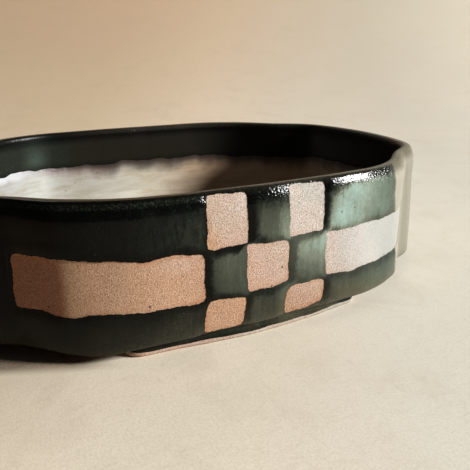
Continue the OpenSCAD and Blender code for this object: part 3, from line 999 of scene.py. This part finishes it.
# How far a foot's clay lies inside the outline, its recorded distance from an edge, and how pale it is
FOOT_IN, FOOT_EDGE, FOOT_WASHED = 0.12, 6.0, 0.8
coat_points, coat_faces, coat_backs, coat_edge = [], [], [], []
for lobe, (crown, crown_r, facing, foot_l, count) in FEET.items():
    outline, out, places, around = foot_outline(crown, crown_r, facing, foot_l, count)
    if lobe == "front":
        outline[:, 0] -= FOOT_SHORT * smooth_step(outline[:, 0], 20.0, FOOT_END_X)
        outline[:, 1] += FOOT_TURN * smooth_step(np.abs(outline[:, 0]), 0.0, FOOT_END_X)
    uneven = waves(places, (around / 5, 0.12, 0.4), (around / 13, 0.08, 1.7), (around / 31, 0.04, 0.9))
    clay_face = outline - out * (FOOT_IN + uneven)[:, None]
    rings = [np.column_stack([clay_face - out * inset, np.full(count, z)]) * MM for inset, z in FOOT_LEVELS]
    faces = tube_faces(len(rings), count)
    caps = [ring_cap(0, count)[::-1], ring_cap(len(rings) - 1, count)]
    every = np.ones(len(rings) * count)
    new_piece(lobe + "_bar", np.vstack(rings), faces, caps, lobe + "_foot", CLAY,
              {"edge": FOOT_EDGE * every, "washed": FOOT_WASHED * every})

    # Glaze on the outer face, thinning out at the ends, above a wavy bare edge
    from_middle = np.minimum(places, around - places)
    end_at = (foot_l - FOOT_W) / 2 + 12
    order = np.argsort(np.where(places > around / 2, places - around, places))
    order = order[from_middle[order] < end_at + 4]
    wavy = FOOT_BARE - 0.4 + waves(places, (around / 7, 0.14, 0.3), (around / 17, 0.08, 1.1))
    heights = np.linspace(1.0, FOOT_H + 0.2, 14)
    field = np.minimum(heights[None, :] - wavy[order][:, None], (end_at - from_middle[order])[:, None])
    grid, faces = clip_grid(field, False)
    i, rows = grid[:, 0], np.arange(len(order))
    xy = at_places(i, rows, clay_face[order])
    away = at_places(i, rows, out[order])
    z = np.interp(grid[:, 1], np.arange(len(heights)), heights)
    distance = end_at - np.interp(i, rows, from_middle[order])
    distance = np.minimum(z - np.interp(i, rows, wavy[order]), distance)
    xy = xy - away * np.interp(z, foot_heights, foot_insets)[:, None]
    thick = coat_depth(distance, GLAZE_T - 0.15, EDGE_T, 2.0)
    top = np.column_stack([xy + away * thick[:, None], z]) * MM
    under = np.column_stack([xy - away * KEYED, z]) * MM
    tops, others = shell_faces(faces, len(top), sum(len(each) for each in coat_points))
    coat_points += [top, under]
    coat_faces += tops
    coat_backs += others
    coat_edge.append(np.tile(np.clip(distance, 0, EDGE_FAR), 2))
new_piece("foot_coat", np.vstack(coat_points), coat_faces, coat_backs, "foot_glaze", GLAZE,
          {"edge": np.concatenate(coat_edge)})

# Camera of the photo: focal length and image in pixels, turns in radians, sensor and place in millimetres
FOCAL, IMAGE, SENSOR = 592.95, 470, 36.0
PITCH, ROLL = 0.3221, 0.0029
CAMERA_AT = (-135.4, -305.67, 129.88)
ahead = level * math.cos(PITCH) - Vector((0, 0, math.sin(PITCH)))
above = Vector((0, 0, math.cos(PITCH))) + level * math.sin(PITCH)
across = right * math.cos(ROLL) + above * math.sin(ROLL)
upright = above * math.cos(ROLL) - right * math.sin(ROLL)
lens = bpy.data.cameras.new("camera")
lens.sensor_width = SENSOR
lens.lens = FOCAL * SENSOR / IMAGE
lens.clip_start = 0.01
camera = new_object("camera", lens)
pose = Matrix((across, upright, -ahead)).transposed().to_4x4()
pose.translation = Vector(CAMERA_AT) * MM
camera.matrix_world = pose
scene.camera = camera

# Floor of pale paper that sweeps up behind the vessel
SWEEP_FROM, SWEEP_R, STAGE_WIDE, STAGE_NEAR, STAGE_TALL = 0.4, 1.1, 2.6, -1.8, 1.8
SWEEP_STEPS = 40
stage_line = [(STAGE_NEAR, 0.0), (-0.4, 0.0), (0.2, 0.0), (SWEEP_FROM, 0.0)]
for k in range(1, SWEEP_STEPS + 1):
    angle = k / SWEEP_STEPS * math.pi / 2
    stage_line.append((SWEEP_FROM + SWEEP_R * math.sin(angle), SWEEP_R * (1 - math.cos(angle))))
stage_line.append((SWEEP_FROM + SWEEP_R, STAGE_TALL))
stage_points = [level * depth + right * side + Vector((0, 0, z))
                for depth, z in stage_line for side in (-STAGE_WIDE, STAGE_WIDE)]
stage_faces = [(2 * k, 2 * k + 1, 2 * k + 3, 2 * k + 2) for k in range(len(stage_line) - 1)]
stage_mesh = bpy.data.meshes.new("paper_sweep")
stage_mesh.from_pydata(stage_points, [], stage_faces)
stage_mesh.polygons.foreach_set("use_smooth", [True] * len(stage_faces))
stage_mesh.materials.append(PAPER)
floor = new_object("paper_sweep", stage_mesh)


def area_light(name, towards, distance, size, power, colour):
    """A soft round lamp that shines on the middle of the vessel from a direction."""
    lamp = bpy.data.lights.new(name, "AREA")
    lamp.shape = "DISK"
    lamp.size = size
    lamp.energy = power
    lamp.color = colour
    holder = new_object(name, lamp)
    holder.location = Vector(towards).normalized() * distance + Vector((0, 0, HEIGHT / 2 * MM))
    holder.rotation_euler = (-Vector(towards)).to_track_quat("-Z", "Y").to_euler()


# Low soft light from the right and a little in front, a weak one that fills the back, and a dim room
area_light("key", (0.747, -0.56, 0.358), 2.4, 0.48, 118.0, (1.0, 0.995, 0.98))
area_light("back_fill", (-0.25, 0.8, 0.75), 1.6, 1.0, 4.0, (1.0, 0.98, 0.95))
world = bpy.data.worlds.new("room")
world.use_nodes = True
room = world.node_tree.nodes["Background"]
room.inputs[0].default_value = rgb(0.95, 0.93, 0.9)
room.inputs[1].default_value = 0.05
scene.world = world
scene.view_settings.view_transform = "Standard"
